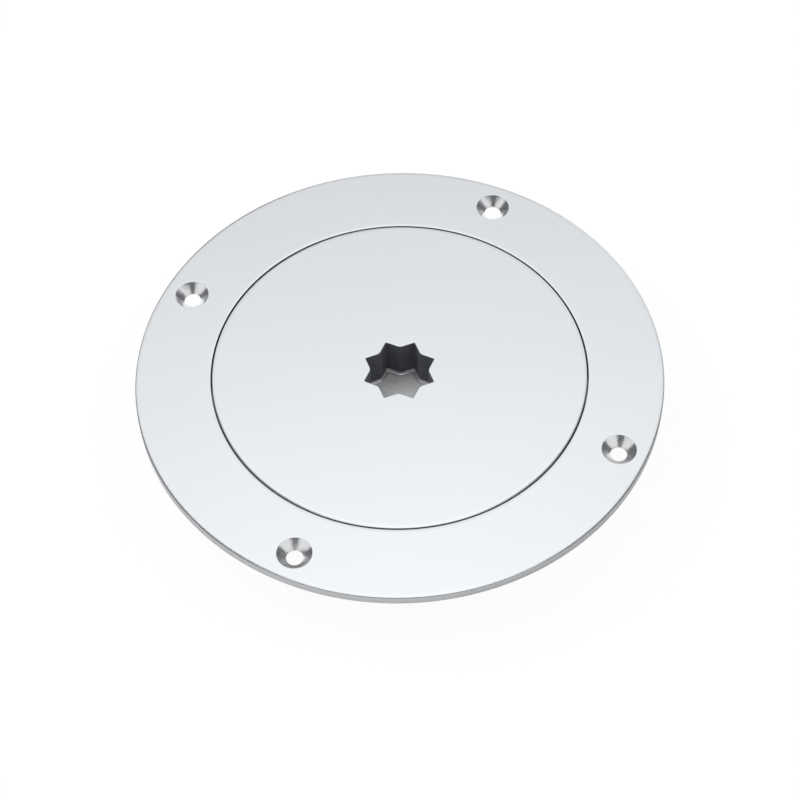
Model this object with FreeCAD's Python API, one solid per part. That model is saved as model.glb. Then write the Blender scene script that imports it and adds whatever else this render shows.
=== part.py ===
import FreeCAD, Part

import math
import os

from FreeCAD import Vector

# A round deck inspection plate in cast and turned stainless steel, in three pieces.
# The deck ring is a thin flange with four countersunk screw holes and a threaded collar that
# drops through the hole in the deck. The lid lies flush in the ring, and has an eight-pointed
# socket for a winch handle, a ribbed hollow underside and a skirt with the mating thread.
# The lid seal is the ring of rubber squeezed under the lid's rim.
# Sizes are in millimetres. The origin is on the ring's axis, in the plane of the deck, which
# is the flange's underside. +Z points up out of the deck, and +X points at a screw hole.

# Flange and screw holes
FLANGE_DIAMETER = 175.0
FLANGE_THICKNESS = 3.2
FLANGE_EDGE_RADIUS = 0.3
SCREW_COUNT = 4
SCREWS_FROM_EDGE = 9.5
SCREW_HOLE_DIAMETER = 5.5
COUNTERSINK_DIAMETER = 11.3
COUNTERSINK_HALF_ANGLE = 45.0

# Collar below the flange
COLLAR_DEPTH = 19.0
COLLAR_WALL_AT_SEAL = 3.65
COLLAR_END_BEVEL = 0.8

# Lid plate
LID_DIAMETER = 124.3
LID_GAP = 0.4
LID_RIM_THICKNESS = 3.9
LID_PLATE_THICKNESS = 3.4
EDGE_BREAK = 0.2

# Thread between lid and collar: right-handed, one start, a trapezoidal ridge on each piece
THREAD_DIAMETER = 116.0
THREAD_PITCH = 4.0
THREAD_DEPTH = 2.0
THREAD_FLANK_ANGLE = 15.0
THREAD_FLANK_GAP = 0.25
THREAD_CREST_GAP = 0.3
COLLAR_THREAD_TURNS = 2.0
LID_THREAD_TURNS = 1.75
THREAD_FROM_COLLAR_END = 2.8
THREAD_RUN_OUT = 18.0

# Skirt of the lid
SKIRT_CLEAR_OF_COLLAR_END = 2.5
SKIRT_WALL = 3.8
SKIRT_END_BEVEL = 1.2
CAST_DRAFT_ANGLE = 2.0

# Seal of rubber, drawn as squeezed by the closed lid
SEAL_WIDTH = 3.2
SEAL_HEIGHT = 2.6
SEAL_BULGE = 0.8
SEAL_GAP = 0.15
SEAL_SIDE_ROOM = 0.3
METAL_SEAT_GAP = 0.15

# Winch-handle socket: squares on one centre, turned so that their corners are evenly spaced.
# SOCKET_TURN is how far, in degrees, the closed lid's star stands past the line of the screws.
SOCKET_SQUARE_COUNT = 2
SOCKET_TURN = 1.0
SOCKET_ACROSS_FLATS = 17.5
SOCKET_DEPTH = 14.7
SOCKET_TIP_RADIUS = 0.4
SOCKET_RIDGE_RADIUS = 2.5
SOCKET_DRAFT_ANGLE = 1.0
SOCKET_MOUTH_BEVEL = 0.2
SOCKET_FLOOR_FILLET = 0.8
SOCKET_FLOOR_THICKNESS = 2.7
BOSS_WALL = 3.2
BOSS_EDGE_RADIUS = 1.2

# Ribs from the boss to the skirt, under the lid plate
RIB_COUNT = 4
RIB_THICKNESS = 2.4
RIB_HEIGHT_AT_BOSS = 8.5
RIB_HEIGHT_AT_SKIRT = 6.0
RIB_ROOT_FILLET = 1.5
RIB_EDGE_BEVEL = 0.5

# Rounding where the boss and the skirt grow out of the lid plate
ROOT_FILLET = 2.5

# How far a cut starts outside the face that it goes into
OVERSHOOT = 1.0

# Worked out: levels along Z
TOP = FLANGE_THICKNESS
LID_RIM_UNDERSIDE = TOP - LID_RIM_THICKNESS
LID_PLATE_UNDERSIDE = TOP - LID_PLATE_THICKNESS
RING_LEDGE = LID_RIM_UNDERSIDE - METAL_SEAT_GAP
SEAL_TOP = LID_RIM_UNDERSIDE - SEAL_GAP
SEAL_BOTTOM = SEAL_TOP - SEAL_HEIGHT
GLAND_FLOOR = SEAL_BOTTOM - SEAL_GAP
COLLAR_END = -COLLAR_DEPTH
SKIRT_END = COLLAR_END + SKIRT_CLEAR_OF_COLLAR_END
COLLAR_THREAD_START = COLLAR_END + THREAD_FROM_COLLAR_END
LID_THREAD_START = COLLAR_THREAD_START + THREAD_PITCH / 2
SOCKET_FLOOR = TOP - SOCKET_DEPTH
BOSS_END = SOCKET_FLOOR - SOCKET_FLOOR_THICKNESS

# Worked out: radii
FLANGE_RADIUS = FLANGE_DIAMETER / 2
SCREW_CIRCLE_RADIUS = FLANGE_RADIUS - SCREWS_FROM_EDGE
LID_RADIUS = LID_DIAMETER / 2
RECESS_RADIUS = LID_RADIUS + LID_GAP
LID_CREST_RADIUS = THREAD_DIAMETER / 2
COLLAR_CREST_RADIUS = LID_CREST_RADIUS - THREAD_DEPTH
BORE_RADIUS = LID_CREST_RADIUS + THREAD_CREST_GAP
SKIRT_RADIUS = COLLAR_CREST_RADIUS - THREAD_CREST_GAP
PITCH_RADIUS = (LID_CREST_RADIUS + COLLAR_CREST_RADIUS) / 2
NECK_RADIUS = BORE_RADIUS - 2 * THREAD_CREST_GAP
SEAL_INNER_RADIUS = NECK_RADIUS + SEAL_GAP
SEAL_OUTER_RADIUS = SEAL_INNER_RADIUS + SEAL_WIDTH
GLAND_RADIUS = SEAL_OUTER_RADIUS + SEAL_SIDE_ROOM
COLLAR_RADIUS = GLAND_RADIUS + COLLAR_WALL_AT_SEAL
SKIRT_INNER_RADIUS = SKIRT_RADIUS - SKIRT_WALL
SOCKET_TIP_CIRCLE = SOCKET_ACROSS_FLATS / math.sqrt(2)
BOSS_RADIUS = SOCKET_TIP_CIRCLE + BOSS_WALL

THREAD_SLOPE = math.tan(math.radians(THREAD_FLANK_ANGLE))
CAST_DRAFT = math.tan(math.radians(CAST_DRAFT_ANGLE))
SOCKET_DRAFT = math.tan(math.radians(SOCKET_DRAFT_ANGLE))
ORIGIN = Vector(0, 0, 0)
AXIS_UP = Vector(0, 0, 1)
ROUND = "round"
BEVEL = "bevel"
CAST = "cast"


def eased_wire(corners):
    """A closed wire through corners of (point,) or (point, kind, size).

    ROUND takes an arc's radius, CAST the radius of an arc that two chords stand for, and BEVEL
    the length that a flat takes off each side. No easing takes over 0.45 of a side.
    """
    count = len(corners)
    paths = []
    for i, corner in enumerate(corners):
        point = corner[0]
        if len(corner) == 1:
            paths.append([point])
            continue
        before = corners[i - 1][0] - point
        after = corners[(i + 1) % count][0] - point
        half_angle = before.getAngle(after) / 2
        leg = corner[2] if corner[1] == BEVEL else corner[2] / math.tan(half_angle)
        leg = min(leg, 0.45 * before.Length, 0.45 * after.Length)
        before.normalize()
        after.normalize()
        radius = leg * math.tan(half_angle)
        inwards = (before + after).normalize()
        middle = point + inwards * (radius / math.sin(half_angle) - radius)
        path = [point + before * leg, point + after * leg]
        if corner[1] != BEVEL:
            path.insert(1, middle)
        paths.append(path)
    edges = []
    for i, path in enumerate(paths):
        if len(path) == 3 and corners[i][1] == ROUND:
            edges.append(Part.Arc(*path).toBSpline().toShape())
        else:
            for begin, finish in zip(path, path[1:]):
                edges.append(Part.LineSegment(begin, finish).toShape())
        edges.append(Part.LineSegment(path[-1], paths[(i + 1) % count][0]).toShape())
    return Part.Wire(edges)


def turned(corners):
    """A solid of revolution about Z from corners of (radius, height), eased as in eased_wire."""
    points = [(Vector(corner[0], 0, corner[1]),) + corner[2:] for corner in corners]
    return Part.Face(eased_wire(points)).revolve(ORIGIN, AXIS_UP, 360)


def thread_ridge(wall_radius, crest_radius, start, turns):
    """A helical ridge from its wall to its crest, whose middle starts at height start above +X.

    Its foot is sunk in the wall, and its flanks leave THREAD_FLANK_GAP to the other piece's.
    """
    outwards = 1 if crest_radius > wall_radius else -1
    foot_radius = wall_radius - outwards * THREAD_CREST_GAP
    pitch_half = (THREAD_PITCH / 2 - THREAD_FLANK_GAP) / 2
    foot_half = pitch_half + abs(PITCH_RADIUS - foot_radius) * THREAD_SLOPE
    crest_half = pitch_half - abs(crest_radius - PITCH_RADIUS) * THREAD_SLOPE
    section = Part.makePolygon([
        Vector(foot_radius, 0, start - foot_half),
        Vector(crest_radius, 0, start - crest_half),
        Vector(crest_radius, 0, start + crest_half),
        Vector(foot_radius, 0, start + foot_half),
        Vector(foot_radius, 0, start - foot_half),
    ])
    helix = Part.makeHelix(THREAD_PITCH, turns * THREAD_PITCH, PITCH_RADIUS)
    helix.translate(Vector(0, 0, start))
    ridge = Part.Wire(helix).makePipeShell([section], True, True)
    for turn in (0, turns):
        relief = run_out(wall_radius, crest_radius)
        relief.translate(Vector(0, 0, start + turn * THREAD_PITCH))
        relief.rotate(ORIGIN, AXIS_UP, turn * 360)
        ridge = ridge.cut(relief)
    return ridge


def run_out(wall_radius, crest_radius):
    """What is milled off a ridge's end above +X, so that it rises slowly from its wall."""
    height = 0.9 * THREAD_PITCH
    drop = Vector(0, 0, height / 2)
    reach = math.radians(THREAD_RUN_OUT)
    if crest_radius > wall_radius:
        flat = crest_radius * math.cos(reach)
        half_width = crest_radius * math.sin(reach)
        return Part.makeBox(crest_radius, 2 * half_width, height, Vector(flat, -half_width, 0) - drop)
    rise = wall_radius - crest_radius
    spread = wall_radius * reach
    cutter_radius = 1 / (1 / wall_radius + 2 * rise / spread ** 2)
    centre = Vector(wall_radius - cutter_radius, 0, 0)
    return Part.makeCylinder(cutter_radius, height, centre - drop)


def countersunk_hole(x, y):
    """A screw hole with its conical seat, as a solid to cut away."""
    hole_radius = SCREW_HOLE_DIAMETER / 2
    seat_radius = COUNTERSINK_DIAMETER / 2
    slope = math.tan(math.radians(COUNTERSINK_HALF_ANGLE))
    hole = turned([
        (0, -OVERSHOOT),
        (hole_radius, -OVERSHOOT),
        (hole_radius, TOP - (seat_radius - hole_radius) / slope),
        (seat_radius + OVERSHOOT * slope, TOP + OVERSHOOT),
        (0, TOP + OVERSHOOT),
    ])
    hole.translate(Vector(x, y, 0))
    return hole


def deck_ring():
    """Flange and threaded collar in one casting, turned where the lid and the seal seat."""
    ring = turned([
        (RECESS_RADIUS, TOP, BEVEL, EDGE_BREAK),
        (FLANGE_RADIUS, TOP, CAST, FLANGE_EDGE_RADIUS),
        (FLANGE_RADIUS, 0),
        (COLLAR_RADIUS, 0),
        (COLLAR_RADIUS, COLLAR_END, BEVEL, COLLAR_END_BEVEL),
        (BORE_RADIUS, COLLAR_END),
        (BORE_RADIUS, GLAND_FLOOR),
        (GLAND_RADIUS, GLAND_FLOOR),
        (GLAND_RADIUS, RING_LEDGE),
        (RECESS_RADIUS, RING_LEDGE),
    ])
    ring = ring.fuse(thread_ridge(BORE_RADIUS, COLLAR_CREST_RADIUS, COLLAR_THREAD_START,
                                  COLLAR_THREAD_TURNS))
    for i in range(SCREW_COUNT):
        angle = math.radians(i * 360 / SCREW_COUNT)
        x = SCREW_CIRCLE_RADIUS * math.cos(angle)
        y = SCREW_CIRCLE_RADIUS * math.sin(angle)
        ring = ring.cut(countersunk_hole(x, y))
    return ring


def star_wire(tip_circle, height):
    """The socket's outline: crossed squares on one centre, with sharp tips and rounded ridges."""
    tip_count = 4 * SOCKET_SQUARE_COUNT
    to_side = math.pi / 4
    to_ridge = math.pi / tip_count
    ridge_circle = tip_circle * math.cos(to_side) / math.cos(to_side - to_ridge)
    corners = []
    for i in range(2 * tip_count):
        angle = math.radians(SOCKET_TURN) + i * to_ridge
        is_tip = i % 2 == 0
        circle = tip_circle if is_tip else ridge_circle
        radius = SOCKET_TIP_RADIUS if is_tip else SOCKET_RIDGE_RADIUS
        point = Vector(circle * math.cos(angle), circle * math.sin(angle), height)
        corners.append((point, CAST if is_tip else ROUND, radius))
    return eased_wire(corners)


def socket():
    """The winch-handle socket as a solid to cut away: drafted, with an eased mouth and floor."""
    mouth_spread = SOCKET_MOUTH_BEVEL + OVERSHOOT

    def level(height, inset):
        """The outline at a height, with its flats moved in by inset and by the draft."""
        moved_in = inset + (TOP - height) * SOCKET_DRAFT
        return star_wire(SOCKET_TIP_CIRCLE - moved_in * math.sqrt(2), height)

    outlines = [
        level(TOP + OVERSHOOT, -mouth_spread),
        level(TOP - SOCKET_MOUTH_BEVEL, 0),
    ]
    for degrees in (0, 45, 90):
        angle = math.radians(degrees)
        height = SOCKET_FLOOR + SOCKET_FLOOR_FILLET * (1 - math.sin(angle))
        outlines.append(level(height, SOCKET_FLOOR_FILLET * (1 - math.cos(angle))))
    return Part.makeLoft(outlines, True, True)


def rib():
    """One rib along +X from the boss to the skirt, drafted, with a rounded root."""
    inner = BOSS_RADIUS - BOSS_WALL / 2
    outer = SKIRT_INNER_RADIUS + SKIRT_WALL / 2
    inside_plate = LID_PLATE_UNDERSIDE + LID_PLATE_THICKNESS / 2

    def section(x, height):
        edge = LID_PLATE_UNDERSIDE - height
        edge_half = RIB_THICKNESS / 2
        root_half = edge_half + height * CAST_DRAFT
        foot_half = root_half + RIB_ROOT_FILLET
        return eased_wire([
            (Vector(x, -edge_half, edge), BEVEL, RIB_EDGE_BEVEL),
            (Vector(x, edge_half, edge), BEVEL, RIB_EDGE_BEVEL),
            (Vector(x, root_half, LID_PLATE_UNDERSIDE), CAST, RIB_ROOT_FILLET),
            (Vector(x, foot_half, LID_PLATE_UNDERSIDE),),
            (Vector(x, foot_half, inside_plate),),
            (Vector(x, -foot_half, inside_plate),),
            (Vector(x, -foot_half, LID_PLATE_UNDERSIDE),),
            (Vector(x, -root_half, LID_PLATE_UNDERSIDE), CAST, RIB_ROOT_FILLET),
        ])

    sections = [section(inner, RIB_HEIGHT_AT_BOSS), section(outer, RIB_HEIGHT_AT_SKIRT)]
    return Part.makeLoft(sections, True, True)


def lid():
    """Lid plate, threaded skirt, boss and ribs in one casting, with the socket let in from above."""
    neck_end = GLAND_FLOOR - EDGE_BREAK
    skirt_height = LID_PLATE_UNDERSIDE - SKIRT_END
    boss_height = LID_PLATE_UNDERSIDE - BOSS_END
    body = turned([
        (0, TOP),
        (LID_RADIUS, TOP, BEVEL, EDGE_BREAK),
        (LID_RADIUS, LID_RIM_UNDERSIDE),
        (NECK_RADIUS, LID_RIM_UNDERSIDE),
        (NECK_RADIUS, neck_end),
        (SKIRT_RADIUS, neck_end - (NECK_RADIUS - SKIRT_RADIUS)),
        (SKIRT_RADIUS, SKIRT_END, BEVEL, SKIRT_END_BEVEL),
        (SKIRT_INNER_RADIUS, SKIRT_END),
        (SKIRT_INNER_RADIUS - skirt_height * CAST_DRAFT, LID_PLATE_UNDERSIDE, CAST, ROOT_FILLET),
        (BOSS_RADIUS + boss_height * CAST_DRAFT, LID_PLATE_UNDERSIDE, CAST, ROOT_FILLET),
        (BOSS_RADIUS, BOSS_END, CAST, BOSS_EDGE_RADIUS),
        (0, BOSS_END),
    ])
    for i in range(RIB_COUNT):
        arm = rib()
        arm.rotate(ORIGIN, AXIS_UP, i * 360 / RIB_COUNT)
        body = body.fuse(arm)
    body = body.fuse(thread_ridge(SKIRT_RADIUS, LID_CREST_RADIUS, LID_THREAD_START, LID_THREAD_TURNS))
    return body.cut(socket())


def lid_seal():
    """The seal, an endless ring of rubber, flat above and below where the closed lid squeezes it."""
    middle = (SEAL_TOP + SEAL_BOTTOM) / 2
    return turned([
        (SEAL_INNER_RADIUS, middle),
        (SEAL_INNER_RADIUS + SEAL_BULGE, SEAL_BOTTOM),
        (SEAL_OUTER_RADIUS - SEAL_BULGE, SEAL_BOTTOM),
        (SEAL_OUTER_RADIUS, middle),
        (SEAL_OUTER_RADIUS - SEAL_BULGE, SEAL_TOP),
        (SEAL_INNER_RADIUS + SEAL_BULGE, SEAL_TOP),
    ])


os.makedirs("parts", exist_ok=True)
for name, shape in (("deck_ring", deck_ring()), ("lid", lid()), ("lid_seal", lid_seal())):
    piece = shape.removeSplitter()
    print(name, "valid" if piece.isValid() else "NOT VALID", len(piece.Solids), "solid",
          len(piece.Faces), "faces", round(piece.Volume / 1000, 2), "cm3")
    piece.exportStep(os.path.join("parts", name + ".step"))
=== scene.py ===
import math

import bmesh
import bpy
from mathutils import Matrix, Vector


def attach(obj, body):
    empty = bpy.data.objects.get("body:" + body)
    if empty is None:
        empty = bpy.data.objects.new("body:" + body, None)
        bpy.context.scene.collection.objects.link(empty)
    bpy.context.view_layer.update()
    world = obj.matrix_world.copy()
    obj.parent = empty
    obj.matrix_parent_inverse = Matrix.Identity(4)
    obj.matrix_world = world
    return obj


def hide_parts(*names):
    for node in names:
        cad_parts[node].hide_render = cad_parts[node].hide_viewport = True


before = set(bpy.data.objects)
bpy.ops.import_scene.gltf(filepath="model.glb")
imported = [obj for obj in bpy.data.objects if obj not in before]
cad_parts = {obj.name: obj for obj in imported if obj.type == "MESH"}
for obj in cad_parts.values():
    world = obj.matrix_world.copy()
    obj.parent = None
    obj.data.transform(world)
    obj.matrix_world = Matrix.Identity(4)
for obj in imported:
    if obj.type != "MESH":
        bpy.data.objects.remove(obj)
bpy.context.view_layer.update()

# The deck inspection plate's ring, lid and seal as finely made meshes in place of the packed
# nodes, with their finishes, on a pale floor in soft light.
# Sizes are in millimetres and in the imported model's frame until a mesh is made from them.
MM = 0.001

# Flange, collar and screw holes
FLANGE_RADIUS = 87.5
FLANGE_THICKNESS = 3.2
FLANGE_EDGE_RADIUS = 0.3
SCREW_CIRCLE_RADIUS = 78.0
SCREW_HOLE_RADIUS = 2.75
COUNTERSINK_RADIUS = 5.65
RECESS_RADIUS = 62.55
RING_LEDGE = -0.85
GLAND_RADIUS = 61.35
GLAND_FLOOR = -3.6
BORE_RADIUS = 58.3
COLLAR_RADIUS = 65.0
COLLAR_END = -19.0
COLLAR_BEVEL = 0.8

# Lid
TOP = FLANGE_THICKNESS
LID_RADIUS = 62.15
LID_RIM_UNDERSIDE = -0.7
LID_PLATE_UNDERSIDE = -0.2
NECK_RADIUS = 57.7
NECK_END = -3.8
SKIRT_RADIUS = 55.7
SKIRT_INNER_RADIUS = 51.9
SKIRT_END = -16.5
SKIRT_BEVEL = 1.2
BOSS_RADIUS = 15.57
BOSS_END = -14.2
BOSS_EDGE_RADIUS = 1.2
CAST_DRAFT = math.tan(math.radians(2))
CAST_EDGE = 0.6
ROOT_FILLET = 2.5

# Ribs under the lid
RIB_COUNT = 4
RIB_HALF_THICKNESS = 1.2
RIB_HEIGHT_AT_BOSS = 8.5
RIB_HEIGHT_AT_SKIRT = 6.0
RIB_INNER_END = 14.0
RIB_OUTER_END = 53.8
RIB_ROOT_FILLET = 1.5

# Thread
THREAD_PITCH = 4.0
THREAD_FOOT_HALF = 1.223
THREAD_SLOPE = math.tan(math.radians(15))
THREAD_RUN_OUT = math.radians(18)
LID_CREST_RADIUS = 58.0
LID_THREAD_START = -14.2
LID_THREAD_TURNS = 1.75
COLLAR_CREST_RADIUS = 56.0
COLLAR_THREAD_START = -16.2
COLLAR_THREAD_TURNS = 2.0

# Star socket
STAR_CORNERS = 16
SOCKET_TIP_CIRCLE = 17.5 / math.sqrt(2)
SOCKET_TURN = math.radians(1)
SOCKET_FLOOR = -11.5
SOCKET_TIP_RADIUS = 0.4
SOCKET_RIDGE_RADIUS = 2.5
SOCKET_DRAFT = math.tan(math.radians(1))
SOCKET_MOUTH_RADIUS = 0.25
SOCKET_FLOOR_FILLET = 0.8

# Seal
SEAL_MIDDLE = (59.45, -2.15)
SEAL_HALF = (1.6, 1.3)
SEAL_ROUNDNESS = (0.85, 0.6)

# Roundings of edges that the solids leave sharp or bevelled
EDGE_ROUNDING = 0.15
SEAT_ROUNDING = 0.12
HOLE_ROUNDING = 0.08
LID_ROUNDING = 0.2
BORE_ROUNDING = 0.3
GLAND_FILLET = 0.3
COLLAR_ROOT_FILLET = 0.4
RIDGE_FOOT_FILLET = 0.3
RIDGE_CREST_ROUNDING = 0.2

# Buffing rolls the top off towards its edges, by a tilt over this width and a straight end
RIM_TILT = math.radians(4)
RECESS_TILT = math.radians(2)
BUFFED_WIDTH = 0.8
BUFFED_END = 0.56

# How finely the meshes are divided
RING_COLUMNS = 360
PLATE_COLUMNS = 58
HOLE_COLUMNS = 96
GUARD = 0.35
SHARP = math.radians(34)


class Shell:
    """Points in millimetres, with faces that each have the number of a finish."""

    def __init__(self):
        self.points = []
        self.faces = []
        self.flats = []

    def row(self, points):
        """Adds points and gives their numbers."""
        first = len(self.points)
        self.points.extend(points)
        return list(range(first, len(self.points)))

    def span(self, one, other, finish, closed=True):
        """Quads between two rows of as many points."""
        count = len(one)
        for i in range(count if closed else count - 1):
            j = (i + 1) % count
            self.faces.append(((one[i], one[j], other[j], other[i]), finish))

    def flat(self, loops, finish):
        """A flat face inside the first closed row and outside the others."""
        self.flats.append((loops, finish))

    def lathe(self, path, angles, centre=(0, 0)):
        """Turns a path of (radius, height, finish) about a centre, and gives its rows."""
        rows = []
        for radius, height, _ in path:
            rows.append(self.row([
                (centre[0] + radius * math.cos(a), centre[1] + radius * math.sin(a), height)
                for a in angles
            ]))
        for i in range(len(rows) - 1):
            self.span(rows[i], rows[i + 1], path[i][2])
        return rows

    def make(self, name, finishes):
        """The finished mesh object: welded, closed, with crisp edges left sharp."""
        bm = bmesh.new()
        verts = [bm.verts.new(Vector(p) * MM) for p in self.points]
        bm.verts.ensure_lookup_table()
        for corners, finish in self.faces:
            bm.faces.new([verts[i] for i in corners]).material_index = finish
        for loops, finish in self.flats:
            edges = []
            for loop in loops:
                for i, j in zip(loop, loop[1:] + loop[:1]):
                    pair = (verts[i], verts[j])
                    edges.append(bm.edges.get(pair) or bm.edges.new(pair))
            filled = bmesh.ops.triangle_fill(bm, use_beauty=True, edges=edges)
            for part in filled["geom"]:
                if isinstance(part, bmesh.types.BMFace):
                    part.material_index = finish
        bmesh.ops.remove_doubles(bm, verts=bm.verts, dist=2e-7)
        bmesh.ops.dissolve_degenerate(bm, edges=bm.edges, dist=1e-7)
        bmesh.ops.recalc_face_normals(bm, faces=bm.faces)
        for face in bm.faces:
            face.smooth = True
        for edge in bm.edges:
            edge.smooth = edge.calc_face_angle(0.0) < SHARP
        mesh = bpy.data.meshes.new(name)
        bm.to_mesh(mesh)
        bm.free()
        for finish in finishes:
            mesh.materials.append(finish)
        piece = bpy.data.objects.new(name, mesh)
        bpy.context.scene.collection.objects.link(piece)
        return piece


def arc(before, corner, after, radius, steps):
    """Points of the arc of a radius that rounds a corner, no longer than its sides allow."""
    to_before = (Vector(before) - Vector(corner))
    to_after = (Vector(after) - Vector(corner))
    half = to_before.angle(to_after) / 2
    leg = min(radius / math.tan(half), 0.48 * to_before.length, 0.48 * to_after.length)
    to_before.normalize()
    to_after.normalize()
    radius = leg * math.tan(half)
    centre = Vector(corner) + (to_before + to_after).normalized() * (radius / math.sin(half))
    begin = Vector(corner) + to_before * leg - centre
    finish = Vector(corner) + to_after * leg - centre
    sweep = begin.angle(finish)
    return [
        centre + (begin * math.sin(sweep * (1 - k / steps)) + finish * math.sin(sweep * k / steps))
        / math.sin(sweep)
        for k in range(steps + 1)
    ]


def eased(corners):
    """A path of (radius, height, finish) along corners of (radius, height, rounding, finish).

    The finish is that of the side that follows. A rounding has that of its two sides' finishes
    which has the higher number.
    """
    path = []
    for i, (r, z, rounding, finish) in enumerate(corners):
        if not rounding:
            path.append((r, z, finish))
            continue
        before, after = corners[i - 1], corners[i + 1]
        steps = 8 if rounding > 0.7 else 4
        points = arc(before[:2], (r, z), after[:2], rounding, steps)
        path.extend((p[0], p[1], max(before[3], finish)) for p in points[:-1])
        path.append((points[-1][0], points[-1][1], finish))
    return path


def even(count):
    """As many evenly spaced angles."""
    return [2 * math.pi * i / count for i in range(count)]


def ridge_section(height):
    """Half a thread ridge's turn as (along the axis, out of the wall), for a crest height."""
    steps = 4
    if height < 0.02:
        count = 4 * (steps + 1)
        return [((2 * i / (count - 1) - 1) * THREAD_FOOT_HALF, 0) for i in range(count)]
    share = min(1, height)
    crest_half = THREAD_FOOT_HALF - height * THREAD_SLOPE
    wall_before = (-THREAD_FOOT_HALF - 0.7, 0)
    foot = (-THREAD_FOOT_HALF, 0)
    crest = (-crest_half, height)
    crest_after = (crest_half, height)
    half = arc(wall_before, foot, crest, RIDGE_FOOT_FILLET * share, steps)
    half += arc(foot, crest, crest_after, RIDGE_CREST_ROUNDING * share, steps)
    half = [(p[0], p[1]) for p in half]
    return half + [(-along, out) for along, out in reversed(half)]


def threaded_wall(shell, angles, wall, crest_height, low, high, start, finish):
    """A round wall between two heights with a helical ridge on it, which crest_height shapes.

    Each column has the same rows, in the order of the ridge's turns. A turn that isn't there
    has no height, and one beyond the wall's ends lies folded up on the end, until it is welded.
    """
    last = math.ceil((high + THREAD_FOOT_HALF - start) / THREAD_PITCH)
    columns = []
    for angle in angles + [2 * math.pi]:
        points = [(wall, low)]
        for turn in range(-1, last):
            done = turn + angle / (2 * math.pi)
            middle = start + THREAD_PITCH * done
            height = crest_height(done)
            for along, out in ridge_section(abs(height)):
                level = min(max(middle + along, low), high)
                points.append((wall + math.copysign(out, height), level))
        points.append((wall, high))
        columns.append(shell.row([
            (r * math.cos(angle), r * math.sin(angle), z) for r, z in points
        ]))
    for one, other in zip(columns, columns[1:]):
        shell.span(one, other, finish, closed=False)


def lid_crest_height(done):
    """How far the lid's ridge stands out after so many turns, with a flat milled on each end."""
    if not 0 < done < LID_THREAD_TURNS:
        return 0.0
    to_end = min(done, LID_THREAD_TURNS - done) * 2 * math.pi
    full = LID_CREST_RADIUS - SKIRT_RADIUS
    if to_end > THREAD_RUN_OUT:
        return full
    flat = LID_CREST_RADIUS * math.cos(THREAD_RUN_OUT)
    return min(max(flat / math.cos(to_end) - SKIRT_RADIUS, 0.0), full)


def collar_crest_height(done):
    """How far the collar's ridge stands inwards, below zero, after so many turns."""
    if not 0 < done < COLLAR_THREAD_TURNS:
        return -0.0
    to_end = min(done, COLLAR_THREAD_TURNS - done) * 2 * math.pi
    full = BORE_RADIUS - COLLAR_CREST_RADIUS
    if to_end > THREAD_RUN_OUT:
        return -full
    spread = BORE_RADIUS * THREAD_RUN_OUT
    cutter = 1 / (1 / BORE_RADIUS + 2 * full / spread ** 2)
    aside = BORE_RADIUS - cutter
    reach = aside * math.cos(to_end) + math.sqrt(cutter ** 2 - (aside * math.sin(to_end)) ** 2)
    return -min(max(BORE_RADIUS - reach, 0.0), full)


# Numbers of the finishes: three that the ring and the lid share, then each one's own
POLISHED, TURNED, CAST = range(3)
# EDGE, the flange's edge and side, has its base colour darkened as painted shade
SEAT, EDGE = 3, 4
# The socket's wall, fillet and bottom finishes carry painted shade, a painted highlight and painted
# light
SOCKET_WALL, SOCKET_FILLET, SOCKET_BOTTOM = 3, 4, 5


def buffed(radius, way, full_tilt):
    """Corners where the flat top rolls off to an edge, and how high that edge then is.

    The edge is at a radius, and way says whether it is outside the flat (1) or inside it (-1).
    """
    start = radius - way * (BUFFED_WIDTH + BUFFED_END)
    bend = BUFFED_WIDTH / math.sin(full_tilt)
    corners = [(start - way * GUARD, TOP, 0, POLISHED)]
    for k in range(6):
        tilt = full_tilt * k / 5
        corners.append((start + way * bend * math.sin(tilt), TOP - bend * (1 - math.cos(tilt)),
                        0, POLISHED))
    return corners, corners[-1][1] - BUFFED_END * math.tan(full_tilt)


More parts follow.
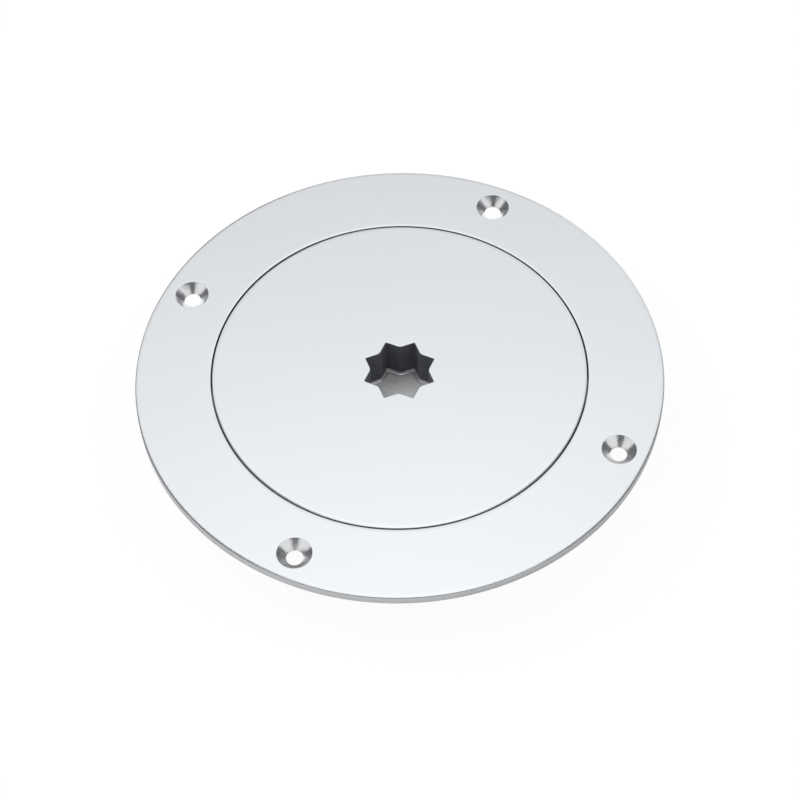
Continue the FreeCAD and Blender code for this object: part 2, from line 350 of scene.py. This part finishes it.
def build_ring(finishes):
    """Flange with four countersunk holes, and the threaded collar below it."""
    shell = Shell()
    angles = even(RING_COLUMNS)
    wall_low, wall_high = COLLAR_END + 1, GLAND_FLOOR - 0.5
    corners, height = buffed(FLANGE_RADIUS, 1, RIM_TILT)
    outside = shell.lathe(eased(corners + [
        (FLANGE_RADIUS, height, FLANGE_EDGE_RADIUS, EDGE),
        (FLANGE_RADIUS, 0, EDGE_ROUNDING, CAST),
        (FLANGE_RADIUS - EDGE_ROUNDING - GUARD, 0, 0, CAST),
    ]), angles)
    collar = shell.lathe(eased([
        (COLLAR_RADIUS + COLLAR_ROOT_FILLET + GUARD, 0, 0, CAST),
        (COLLAR_RADIUS, 0, COLLAR_ROOT_FILLET, CAST),
        (COLLAR_RADIUS, COLLAR_END + COLLAR_BEVEL, EDGE_ROUNDING, TURNED),
        (COLLAR_RADIUS - COLLAR_BEVEL, COLLAR_END, EDGE_ROUNDING, TURNED),
        (BORE_RADIUS, COLLAR_END, BORE_ROUNDING, TURNED),
        (BORE_RADIUS, wall_low, 0, TURNED),
    ]), angles)
    threaded_wall(shell, angles, BORE_RADIUS, collar_crest_height, wall_low,
                  wall_high, COLLAR_THREAD_START, TURNED)
    corners, height = buffed(RECESS_RADIUS, -1, RECESS_TILT)
    recess = shell.lathe(eased([
        (BORE_RADIUS, wall_high, 0, TURNED),
        (BORE_RADIUS, GLAND_FLOOR, EDGE_ROUNDING, TURNED),
        (GLAND_RADIUS, GLAND_FLOOR, GLAND_FILLET, TURNED),
        (GLAND_RADIUS, RING_LEDGE, SEAT_ROUNDING, TURNED),
        (RECESS_RADIUS, RING_LEDGE, SEAT_ROUNDING, TURNED),
        (RECESS_RADIUS, height, EDGE_ROUNDING, POLISHED),
    ] + corners[::-1]), angles)
    tops, bottoms = [], []
    cone_depth = COUNTERSINK_RADIUS - SCREW_HOLE_RADIUS
    for x, y in ((1, 0), (0, 1), (-1, 0), (0, -1)):
        rows = shell.lathe(eased([
            (COUNTERSINK_RADIUS + SEAT_ROUNDING + GUARD, TOP, 0, POLISHED),
            (COUNTERSINK_RADIUS, TOP, SEAT_ROUNDING, SEAT),
            (SCREW_HOLE_RADIUS, TOP - cone_depth, HOLE_ROUNDING, SEAT),
            (SCREW_HOLE_RADIUS, 0, SEAT_ROUNDING, CAST),
            (SCREW_HOLE_RADIUS + SEAT_ROUNDING + GUARD, 0, 0, CAST),
        ]), even(HOLE_COLUMNS), (x * SCREW_CIRCLE_RADIUS, y * SCREW_CIRCLE_RADIUS))
        tops.append(rows[0])
        bottoms.append(rows[-1])
    shell.flat([outside[0], recess[-1]] + tops, POLISHED)
    shell.flat([outside[-1], collar[0]] + bottoms, CAST)
    return shell.make("deck_ring_finished", finishes)


def star(inset, height):
    """The socket's outline with its sides moved in by an inset, as closed points."""
    tip_circle = SOCKET_TIP_CIRCLE - inset * math.sqrt(2)
    ridge_circle = tip_circle * math.cos(math.pi / 4) / math.cos(math.pi / 8)
    corners = []
    for i in range(STAR_CORNERS):
        circle = ridge_circle if i % 2 else tip_circle
        angle = SOCKET_TURN + i * math.pi / 8
        corners.append((circle * math.cos(angle), circle * math.sin(angle)))
    points = []
    for i, corner in enumerate(corners):
        after = corners[(i + 1) % STAR_CORNERS]
        if i % 2:
            rounded = arc(corners[i - 1], corner, after, SOCKET_RIDGE_RADIUS, 8)
        else:
            rounded = arc(corners[i - 1], corner, after, SOCKET_TIP_RADIUS, 6)
        points.extend((p[0], p[1], height) for p in rounded)
    return points


def build_socket(shell):
    """The star socket's mouth, drafted wall and filleted floor. Gives the row round its mouth."""
    steps = 4
    rows = [(star(-SOCKET_MOUTH_RADIUS - GUARD, TOP), POLISHED)]
    for k in range(steps + 1):
        angle = math.pi / 2 * k / steps
        inset = -SOCKET_MOUTH_RADIUS * (1 - math.sin(angle))
        height = TOP - SOCKET_MOUTH_RADIUS * (1 - math.cos(angle))
        rows.append((star(inset, height), POLISHED if k < steps else SOCKET_WALL))
    wall_end = SOCKET_FLOOR + SOCKET_FLOOR_FILLET
    wall_start = TOP - SOCKET_MOUTH_RADIUS
    for k in range(1, 12):
        height = wall_start + (wall_end - wall_start) * k / 12
        rows.append((star((wall_start - height) * SOCKET_DRAFT, height), SOCKET_WALL))
    steps = 8
    drafted = (wall_start - wall_end) * SOCKET_DRAFT
    for k in range(steps + 1):
        angle = math.pi / 2 * k / steps
        inset = drafted + SOCKET_FLOOR_FILLET * (1 - math.cos(angle))
        height = SOCKET_FLOOR + SOCKET_FLOOR_FILLET * (1 - math.sin(angle))
        rows.append((star(inset, height), SOCKET_FILLET))
    # The fillet's finish, with its painted highlight, runs on over this guard band of the floor
    rows.append((star(drafted + SOCKET_FLOOR_FILLET + GUARD, SOCKET_FLOOR), SOCKET_BOTTOM))
    numbers = [shell.row(points) for points, _ in rows]
    for i in range(len(rows) - 1):
        shell.span(numbers[i], numbers[i + 1], rows[i][1])
    shell.flat([numbers[-1]], SOCKET_BOTTOM)
    return numbers[0]


def boss_wall(height):
    return BOSS_RADIUS + (height - BOSS_END) * CAST_DRAFT


def skirt_wall(height):
    return SKIRT_INNER_RADIUS - (height - SKIRT_END) * CAST_DRAFT


def rib_section(height):
    """Half a rib's section as (aside, height over the plate), from its middle to its foot."""
    root = RIB_HALF_THICKNESS + height * CAST_DRAFT
    foot = root + RIB_ROOT_FILLET
    edge = arc((-1, height), (RIB_HALF_THICKNESS, height), (root, 0), CAST_EDGE, 4)
    fillet = arc((RIB_HALF_THICKNESS, height), (root, 0), (foot + 2, 0), RIB_ROOT_FILLET, 6)
    side = [edge[-1].lerp(fillet[0], k / 6) for k in range(1, 6)]
    return [Vector((0, height))] + edge + side + fillet


def between(one, other, count):
    """Points from one to before the other, evenly spaced."""
    return [one.lerp(other, k / count) for k in range(count)]


def hollow_path(inner, outer):
    """A path (radius, height) down the boss, along a floor and up the skirt.

    inner and outer are (radius, height over the plate) of two points of the floor's line.
    """
    slope = (outer[1] - inner[1]) / (outer[0] - inner[0])

    def level(r):
        return LID_PLATE_UNDERSIDE - inner[1] - (r - inner[0]) * slope

    at_boss, at_skirt = BOSS_RADIUS, SKIRT_INNER_RADIUS
    for _ in range(4):
        at_boss = boss_wall(level(at_boss))
        at_skirt = skirt_wall(level(at_skirt))
    boss_start = BOSS_END + BOSS_EDGE_RADIUS
    skirt_start = SKIRT_END + CAST_EDGE
    corners = [
        Vector((boss_wall(boss_start), boss_start)),
        Vector((at_boss, level(at_boss))),
        Vector((at_skirt, level(at_skirt))),
        Vector((skirt_wall(skirt_start), skirt_start)),
    ]
    radius = ROOT_FILLET - 0.8 * min(1, inner[1] / RIB_HEIGHT_AT_BOSS)
    inner_arc = arc(corners[0], corners[1], corners[2], radius, 7)
    outer_arc = arc(corners[1], corners[2], corners[3], radius, 7)
    path = between(corners[0], inner_arc[0], 5) + inner_arc[:-1]
    path += between(inner_arc[-1], outer_arc[0], 22) + outer_arc[:-1]
    return path + between(outer_arc[-1], corners[3], 6) + [corners[3]]


def build_hollow(shell):
    """The lid's underside between boss and skirt, with its ribs, as one grid of columns.

    Gives the columns' angles at the boss's end and at the skirt's end.
    """
    at_boss = rib_section(RIB_HEIGHT_AT_BOSS)
    at_skirt = rib_section(RIB_HEIGHT_AT_SKIRT)
    halves = []
    for inner, outer in zip(at_boss, at_skirt):
        path = hollow_path((RIB_INNER_END, inner[1]), (RIB_OUTER_END, outer[1]))
        turned = []
        for r, z in path:
            share = (r - RIB_INNER_END) / (RIB_OUTER_END - RIB_INNER_END)
            aside = inner[0] + (outer[0] - inner[0]) * share
            from_wall = max(0.0, min(r - boss_wall(z), skirt_wall(z) - r, RIB_ROOT_FILLET))
            short = RIB_ROOT_FILLET - from_wall
            flare = RIB_ROOT_FILLET - math.sqrt(RIB_ROOT_FILLET ** 2 - short ** 2)
            aside += flare * min(1, aside / RIB_HALF_THICKNESS)
            turned.append(math.asin(aside / r))
        halves.append((path, turned))
    plain_path, foot_angles = halves[-1]
    columns = []
    for rib in range(RIB_COUNT):
        turn = 2 * math.pi * rib / RIB_COUNT
        reach = 2 * math.pi / RIB_COUNT
        for path, turned in reversed(halves[1:]):
            columns.append((path, [turn - a for a in turned]))
        for path, turned in halves:
            columns.append((path, [turn + a for a in turned]))
        for k in range(1, PLATE_COLUMNS):
            share = k / PLATE_COLUMNS
            columns.append((plain_path, [
                turn + a + (reach - 2 * a) * share for a in foot_angles
            ]))
    first = len(halves) - 1
    columns = columns[first:] + columns[:first]
    rows = len(plain_path)
    numbers = [
        shell.row([
            (path[i][0] * math.cos(turned[i]), path[i][0] * math.sin(turned[i]), path[i][1])
            for path, turned in columns
        ])
        for i in range(rows)
    ]
    for i in range(rows - 1):
        shell.span(numbers[i], numbers[i + 1], CAST)
    whole = 2 * math.pi
    return [t[0] % whole for _, t in columns], [t[-1] % whole for _, t in columns]


def build_lid(finishes):
    """Lid plate with its star socket, threaded skirt, boss and ribs."""
    shell = Shell()
    mouth = build_socket(shell)
    boss_angles, skirt_angles = build_hollow(shell)
    boss_start = BOSS_END + BOSS_EDGE_RADIUS
    boss_end = shell.lathe(eased([
        (boss_wall(boss_start), boss_start, 0, CAST),
        (BOSS_RADIUS, BOSS_END, BOSS_EDGE_RADIUS, CAST),
        (BOSS_RADIUS - BOSS_EDGE_RADIUS - GUARD, BOSS_END, 0, CAST),
    ]), boss_angles)
    shell.flat([boss_end[-1]], CAST)
    skirt_start = SKIRT_END + CAST_EDGE
    wall_low = SKIRT_END + SKIRT_BEVEL
    wall_high = NECK_END - (NECK_RADIUS - SKIRT_RADIUS)
    shell.lathe(eased([
        (skirt_wall(skirt_start), skirt_start, 0, CAST),
        (SKIRT_INNER_RADIUS, SKIRT_END, CAST_EDGE * 0.9, TURNED),
        (SKIRT_RADIUS - SKIRT_BEVEL, SKIRT_END, LID_ROUNDING, TURNED),
        (SKIRT_RADIUS, wall_low, 0, TURNED),
    ]), skirt_angles)
    threaded_wall(shell, skirt_angles, SKIRT_RADIUS, lid_crest_height, wall_low,
                  wall_high, LID_THREAD_START, TURNED)
    corners, height = buffed(LID_RADIUS, 1, RIM_TILT)
    rim = shell.lathe(eased([
        (SKIRT_RADIUS, wall_high, 0, TURNED),
        (NECK_RADIUS, NECK_END, LID_ROUNDING, TURNED),
        (NECK_RADIUS, LID_RIM_UNDERSIDE, LID_ROUNDING, TURNED),
        (LID_RADIUS, LID_RIM_UNDERSIDE, EDGE_ROUNDING, TURNED),
        (LID_RADIUS, height, LID_ROUNDING, POLISHED),
    ] + corners[::-1]), skirt_angles)
    shell.flat([rim[-1], mouth], POLISHED)
    return shell.make("lid_finished", finishes)


def build_seal(finishes):
    """The rubber ring as the closed lid squeezes it: round at its sides, flat above and below."""
    shell = Shell()
    count = 28
    path = []
    for i in range(count + 1):
        angle = 2 * math.pi * i / count
        across, up = math.cos(angle), math.sin(angle)
        path.append((
            SEAL_MIDDLE[0] + SEAL_HALF[0] * math.copysign(abs(across) ** SEAL_ROUNDNESS[0], across),
            SEAL_MIDDLE[1] + SEAL_HALF[1] * math.copysign(abs(up) ** SEAL_ROUNDNESS[1], up),
            0,
        ))
    shell.lathe(path, even(240))
    return shell.make("lid_seal_finished", finishes)


class Finish:
    """A material's nodes, made line by line."""

    def __init__(self, name):
        self.material = bpy.data.materials.new(name)
        self.material.use_nodes = True
        self.tree = self.material.node_tree
        self.shader = self.tree.nodes["Principled BSDF"]
        self.place = self.add("ShaderNodeTexCoord").outputs["Object"]

    def add(self, kind, **values):
        """A node, with inputs set from sockets or plain values, by name or as _0, _1."""
        node = self.tree.nodes.new(kind)
        for key, value in values.items():
            if hasattr(node, key):
                setattr(node, key, value)
                continue
            entry = node.inputs[int(key[1:])] if key[0] == "_" else node.inputs[key]
            if isinstance(value, bpy.types.NodeSocket):
                self.tree.links.new(value, entry)
            else:
                entry.default_value = value
        return node

    def math(self, operation, one, other=0.0):
        return self.add("ShaderNodeMath", operation=operation, _0=one, _1=other).outputs[0]

    def noise(self, place, scale, detail=3.0, rough=0.5):
        """A noise from 0 to 1."""
        return self.add("ShaderNodeTexNoise", Vector=place, Scale=scale, Detail=detail,
                        Roughness=rough).outputs["Fac"]

    def scaled(self, place, size, turn=0.0):
        """A place stretched along its axes, after a turn about Z."""
        turned = self.add("ShaderNodeVectorRotate", rotation_type="Z_AXIS", Vector=place,
                          Angle=turn).outputs[0]
        return self.add("ShaderNodeVectorMath", operation="MULTIPLY", _0=turned,
                        _1=size).outputs[0]

    def split(self, place):
        return self.add("ShaderNodeSeparateXYZ", _0=place).outputs

    def joined(self, x, y, z):
        return self.add("ShaderNodeCombineXYZ", X=x, Y=y, Z=z).outputs[0]

    def spread(self, value, low, high):
        """A value from 0 to 1 spread between two others."""
        return self.add("ShaderNodeMapRange", _0=value, _3=low, _4=high).outputs[0]

    def colour(self, value, low, high):
        """A colour between two, by a value from 0 to 1."""
        ramp = self.add("ShaderNodeValToRGB", _0=value)
        ramp.color_ramp.elements[0].color = (*low, 1)
        ramp.color_ramp.elements[1].color = (*high, 1)
        return ramp.outputs[0]

    def round_about(self, x, y, z, around, across):
        """A place for marks that run round an axis: slow along them, quick across them."""
        radius = self.math("SQRT", self.math("ADD", self.math("MULTIPLY", x, x),
                                             self.math("MULTIPLY", y, y)))
        slow_x = self.math("MULTIPLY", self.math("DIVIDE", x, radius), around)
        slow_y = self.math("MULTIPLY", self.math("DIVIDE", y, radius), around)
        quick = self.math("MULTIPLY", self.math("ADD", radius, z), across)
        return self.joined(slow_x, slow_y, quick)

    def bump(self, height, strength, distance, under=None):
        values = {"Height": height, "Strength": strength, "Distance": distance}
        if under is not None:
            values["Normal"] = under
        return self.add("ShaderNodeBump", **values).outputs[0]

    def done(self, **sockets):
        for name, value in sockets.items():
            entry = self.shader.inputs[name.replace("_", " ")]
            if isinstance(value, bpy.types.NodeSocket):
                self.tree.links.new(value, entry)
            else:
                entry.default_value = value
        return self.material


# The polishing lines' direction, across the photograph
GRAIN = math.radians(-26.2)


def polished_steel():
    """Polished steel with faint straight polishing lines and a soft unevenness."""
    f = Finish("polished_steel")
    lines = f.noise(f.scaled(f.place, (45, 3800, 400), GRAIN), 1.0, 2.0)
    haze = f.noise(f.scaled(f.place, (9, 26, 9), GRAIN), 1.0, 2.0)
    worn = f.math("ADD", f.math("MULTIPLY", lines, 0.5), f.math("MULTIPLY", haze, 0.5))
    waves = f.bump(haze, 0.25, 0.0002)
    return f.done(
        Base_Color=f.colour(haze, (0.86, 0.865, 0.875), (0.90, 0.905, 0.91)),
        Metallic=1.0,
        Roughness=f.spread(worn, 0.10, 0.24),
        Normal=f.bump(lines, 0.06, 0.00002, waves),
    )


def turned_steel():
    """Steel off the lathe: fine tool marks that run round the axis."""
    f = Finish("turned_steel")
    x, y, z = f.split(f.place)
    marks = f.noise(f.round_about(x, y, z, 7.0, 5200.0), 1.0, 2.0)
    broad = f.noise(f.round_about(x, y, z, 4.0, 700.0), 1.0, 2.0)
    worn = f.math("ADD", f.math("MULTIPLY", marks, 0.6), f.math("MULTIPLY", broad, 0.4))
    return f.done(
        Base_Color=f.colour(broad, (0.58, 0.585, 0.59), (0.70, 0.705, 0.71)),
        Metallic=1.0,
        Roughness=f.spread(worn, 0.20, 0.42),
        Normal=f.bump(marks, 0.22, 0.00004),
    )


def edge_steel_painted_shade():
    """The flange's edge: ground round and a little duller than the top, with its base colour
    darkened as painted shade.
    """
    f = Finish("edge_steel_painted_shade")
    x, y, z = f.split(f.place)
    marks = f.noise(f.round_about(x, y, z, 16.0, 3600.0), 1.0, 2.0)
    broad = f.noise(f.round_about(x, y, z, 5.0, 500.0), 1.0, 2.0)
    return f.done(
        # The dark base colour is painted shade: it stands in for the shaded floor that the edge
        # mirrors
        Base_Color=f.colour(broad, (0.40, 0.405, 0.41), (0.48, 0.485, 0.49)),
        Metallic=1.0,
        Roughness=f.spread(marks, 0.26, 0.40),
        Normal=f.bump(marks, 0.20, 0.00004),
    )


def seat_steel():
    """The countersinks: bright cuts with rings from the tool, round each hole's own axis."""
    f = Finish("countersunk_steel")
    x, y, z = f.split(f.place)
    far_x, far_y = f.math("ABSOLUTE", x), f.math("ABSOLUTE", y)
    along = f.math("SUBTRACT", f.math("MAXIMUM", far_x, far_y), SCREW_CIRCLE_RADIUS * MM)
    aside = f.math("MINIMUM", far_x, far_y)
    marks = f.noise(f.round_about(along, aside, z, 2.2, 4200.0), 1.0, 2.0)
    chatter = f.noise(f.round_about(along, aside, z, 9.0, 500.0), 1.0, 2.0)
    worn = f.math("ADD", f.math("MULTIPLY", marks, 0.6), f.math("MULTIPLY", chatter, 0.4))
    return f.done(
        Base_Color=f.colour(chatter, (0.72, 0.725, 0.73), (0.90, 0.90, 0.90)),
        Metallic=1.0,
        Roughness=f.spread(worn, 0.12, 0.30),
        Normal=f.bump(chatter, 0.35, 0.00012, f.bump(marks, 0.30, 0.00005)),
    )


def cast_steel():
    """The casting's blasted skin: matt, finely pitted and a little uneven in colour."""
    f = Finish("cast_steel")
    pits = f.noise(f.place, 2200.0, 3.0, 0.65)
    skin = f.noise(f.place, 520.0, 4.0, 0.65)
    cloud = f.noise(f.place, 60.0, 5.0, 0.6)
    rough = f.bump(skin, 0.55, 0.0004)
    return f.done(
        Base_Color=f.colour(cloud, (0.36, 0.36, 0.365), (0.62, 0.62, 0.62)),
        Metallic=1.0,
        Roughness=f.spread(f.noise(f.place, 160.0), 0.42, 0.60),
        Normal=f.bump(pits, 0.35, 0.00008, rough),
    )


def socket_steel_painted_light(name, low, high, roughness, metallic, relief):
    """The socket's unpolished inside: the casting's skin, with short marks down its walls, over a
    base colour from low to high that each part sets: dark on the walls as painted shade, bright on
    the floor fillet as a painted highlight, lighter on the floor as painted light.
    """
    f = Finish(name)
    skin = f.noise(f.place, 1300.0, 4.0, 0.7)
    marks = f.noise(f.scaled(f.place, (900, 900, 160)), 1.0, 4.0, 0.75)
    return f.done(
        Base_Color=f.colour(marks, low, high),
        Metallic=metallic,
        Roughness=f.spread(skin, roughness - 0.08, roughness + 0.08),
        Normal=f.bump(skin, relief, 0.0002),
    )


def seal_rubber():
    """Black moulded rubber, dull, with a trace of talc."""
    f = Finish("seal_rubber")
    dust = f.noise(f.place, 180.0, 4.0, 0.6)
    grain = f.noise(f.place, 3000.0, 2.0)
    return f.done(
        Base_Color=f.colour(dust, (0.016, 0.016, 0.017), (0.045, 0.045, 0.046)),
        Roughness=f.spread(dust, 0.48, 0.68),
        Normal=f.bump(grain, 0.25, 0.00005),
    )


polished = polished_steel()
turned = turned_steel()
cast = cast_steel()
ring = build_ring([polished, turned, cast, seat_steel(), edge_steel_painted_shade()])
lid = build_lid([
    polished, turned, cast,
    # Painted light in the socket: dark walls as painted shade, a bright floor fillet as a painted
    # highlight, a lighter floor as painted light
    socket_steel_painted_light("socket_wall_painted_shade", (0.10, 0.104, 0.112), (0.18, 0.188, 0.202), 0.60, 0.5, 0.2),
    socket_steel_painted_light("socket_fillet_painted_highlight", (0.84, 0.84, 0.845), (1.0, 1.0, 1.0), 0.34, 0.8, 0.08),
    socket_steel_painted_light("socket_floor_painted_light", (0.60, 0.605, 0.61), (1.0, 1.0, 1.0), 0.42, 0.4, 0.5),
])
seal = build_seal([seal_rubber()])

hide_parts("deck_ring")
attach(ring, "ring")
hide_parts("lid")
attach(lid, "lid")
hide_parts("lid_seal")
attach(seal, "seal")


# The camera, placed as the photograph's was, in millimetres from the top face's centre
VIEW_RIGHT = Vector((0.8973, 0.4415, 0))
VIEW_FORWARD = Vector((-0.4415, 0.8973, 0))
VIEW_ELEVATION = math.radians(54.13)
VIEW_ROLL = math.radians(-1.676)
VIEW_DISTANCE = 681.5
VIEW_LENS = 93.5


VIEW_AIM_NEARER = 12.39
VIEW_AIM_LEFT = 0.08

# The stage: distance of its cards and lamps in metres, how much of the sky's strength lights
# what isn't metal, and the sky's colours by the sine of the elevation
STAGE_DISTANCE = 1.6
SKY_ON_MATT = 0.60
SKY = (
    (0.0, (0.72, 0.73, 0.75, 1)),
    (0.34, (0.88, 0.89, 0.90, 1)),
    (0.62, (0.93, 0.94, 0.95, 1)),
    (0.74, (0.73, 0.755, 0.78, 1)),
    (0.81, (0.92, 0.94, 0.96, 1)),
    (0.87, (1.11, 1.13, 1.16, 1)),
)
FLOOR_REACH = 30.0
FLOOR_BELOW = 0.05


def place_camera():
    data = bpy.data.cameras.new("camera")
    data.lens = VIEW_LENS
    data.sensor_width = 36
    camera = bpy.data.objects.new("camera", data)
    bpy.context.scene.collection.objects.link(camera)
    sight = VIEW_FORWARD * math.cos(VIEW_ELEVATION) - Vector((0, 0, math.sin(VIEW_ELEVATION)))
    aim = Vector((0, 0, TOP)) - VIEW_FORWARD * VIEW_AIM_NEARER - VIEW_RIGHT * VIEW_AIM_LEFT
    back = -sight
    up = back.cross(VIEW_RIGHT)
    turn = Matrix((VIEW_RIGHT, up, back)).transposed() @ Matrix.Rotation(VIEW_ROLL, 3, "Z")
    camera.matrix_world = Matrix.Translation((aim - sight * VIEW_DISTANCE) * MM) @ turn.to_4x4()
    bpy.context.scene.camera = camera


def stage_mesh(name, points, faces, material):
    mesh = bpy.data.meshes.new(name)
    mesh.from_pydata(points, [], faces)
    mesh.materials.append(material)
    obj = bpy.data.objects.new(name, mesh)
    bpy.context.scene.collection.objects.link(obj)
    return obj


def white_for(tree, camera_share, mirror_share):
    """How much of the plain white a ray sees: the camera's, or one by way of metal or glass."""
    rays = tree.nodes.new("ShaderNodeLightPath")
    total = None
    for name, share in (("Is Camera Ray", camera_share), ("Is Glossy Ray", mirror_share),
                        ("Is Transmission Ray", mirror_share)):
        part = tree.nodes.new("ShaderNodeMath")
        part.operation = "MULTIPLY_ADD"
        tree.links.new(rays.outputs[name], part.inputs[0])
        part.inputs[1].default_value = share
        part.inputs[2].default_value = 0.0
        if total is not None:
            tree.links.new(total, part.inputs[2])
        total = part.outputs[0]
    return total


def build_floor():
    material = bpy.data.materials.new("floor")
    material.use_nodes = True
    tree = material.node_tree
    tree.nodes.clear()
    paper = tree.nodes.new("ShaderNodeBsdfDiffuse")
    paper.inputs[0].default_value = (0.93, 0.93, 0.93, 1)
    white = tree.nodes.new("ShaderNodeEmission")
    mix = tree.nodes.new("ShaderNodeMixShader")
    tree.links.new(white_for(tree, 0.95, 0.10), mix.inputs[0])
    tree.links.new(paper.outputs[0], mix.inputs[1])
    tree.links.new(white.outputs[0], mix.inputs[2])
    tree.links.new(mix.outputs[0], tree.nodes.new("ShaderNodeOutputMaterial").inputs[0])
    level = (COLLAR_END - FLOOR_BELOW) * MM
    corners = [(math.cos(a) * FLOOR_REACH, math.sin(a) * FLOOR_REACH, level) for a in even(64)]
    stage_mesh("floor", corners, [tuple(range(64))], material)


def card_paper(name, colour):
    material = bpy.data.materials.new(name)
    material.use_nodes = True
    shader = material.node_tree.nodes["Principled BSDF"]
    shader.inputs["Base Color"].default_value = (*colour, 1)
    shader.inputs["Roughness"].default_value = 0.9
    return material


def band(first, count, low, high, step=5):
    """A card's columns as (turn, lowest, highest) in degrees, evenly spaced from a first turn.

    A turn is to the right of straight ahead, as seen from the camera.
    """
    return [(first + step * k, low, high) for k in range(count)]


def build_cards():
    """Dark and grey cards round the plate, which only metal shows."""
    dark = card_paper("dark_card", (0.13, 0.13, 0.136))
    grey = card_paper("grey_card", (0.60, 0.60, 0.61))
    high_band = []
    for turn, low, high in band(20, 65, 42, 70.5):
        from_ahead = 180 - abs(180 - turn)
        high_band.append((turn, max(low, 70 - (from_ahead - 20) * 1.2), high))
    cards = (
        ("left_dark_card", dark, band(-84, 9, -1, 36) + band(-39, 7, -1, 39.5)),
        ("right_dark_card", dark, band(44, 12, -1, 26)),
        ("back_grey_card", grey, band(-9, 6, -1, 41)),
        ("front_dark_card", dark, band(166, 9, 26, 45, 5.5)),
        ("high_dark_card", dark, high_band),
    )
    for name, paper, columns in cards:
        points = []
        for turn, bottom, top in columns:
            across = math.radians(turn)
            way = VIEW_FORWARD * math.cos(across) + VIEW_RIGHT * math.sin(across)
            for level in (math.radians(bottom), math.radians(top)):
                up = Vector((0, 0, math.sin(level)))
                points.append((way * math.cos(level) + up) * STAGE_DISTANCE)
        faces = [(2 * k, 2 * k + 2, 2 * k + 3, 2 * k + 1) for k in range(len(columns) - 1)]
        card = stage_mesh(name, points, faces, paper)
        card.visible_camera = False
        card.visible_diffuse = False
        card.visible_shadow = False


def build_world():
    world = bpy.data.worlds.new("studio")
    bpy.context.scene.world = world
    world.use_nodes = True
    tree = world.node_tree
    background = tree.nodes["Background"]
    place = tree.nodes.new("ShaderNodeTexCoord")
    split = tree.nodes.new("ShaderNodeSeparateXYZ")
    tree.links.new(place.outputs["Generated"], split.inputs[0])
    ramp = tree.nodes.new("ShaderNodeValToRGB")
    tree.links.new(split.outputs["Z"], ramp.inputs[0])
    stops = ramp.color_ramp.elements
    (lowest, low_colour), *middle, (highest, high_colour) = SKY
    stops[0].position, stops[0].color = lowest, low_colour
    stops[1].position, stops[1].color = highest, high_colour
    for height, colour in middle:
        stops.new(height).color = colour
    strength = tree.nodes.new("ShaderNodeMapRange")
    tree.links.new(white_for(tree, 1.0, 1.0), strength.inputs[0])
    strength.inputs[3].default_value = SKY_ON_MATT
    strength.inputs[4].default_value = 1.0
    tree.links.new(ramp.outputs[0], background.inputs["Color"])
    tree.links.new(strength.outputs[0], background.inputs["Strength"])


def add_softbox(name, way, watts, size=1.2):
    """A round soft lamp in a direction, which metal doesn't show."""
    data = bpy.data.lights.new(name, "AREA")
    data.shape = "DISK"
    data.size = size
    data.energy = watts
    lamp = bpy.data.objects.new(name, data)
    bpy.context.scene.collection.objects.link(lamp)
    lamp.location = way.normalized() * STAGE_DISTANCE
    lamp.rotation_euler = way.to_track_quat("Z", "Y").to_euler()
    lamp.visible_glossy = False


place_camera()
build_floor()
build_cards()
build_world()
add_softbox("softbox_left", Vector((0, 0, 1.3)) - VIEW_RIGHT + VIEW_FORWARD * 0.4, watts=18)
add_softbox("softbox_right", Vector((0, 0, 1.1)) + VIEW_RIGHT * 1.1, watts=9)

bpy.context.scene.view_settings.view_transform = "Standard"
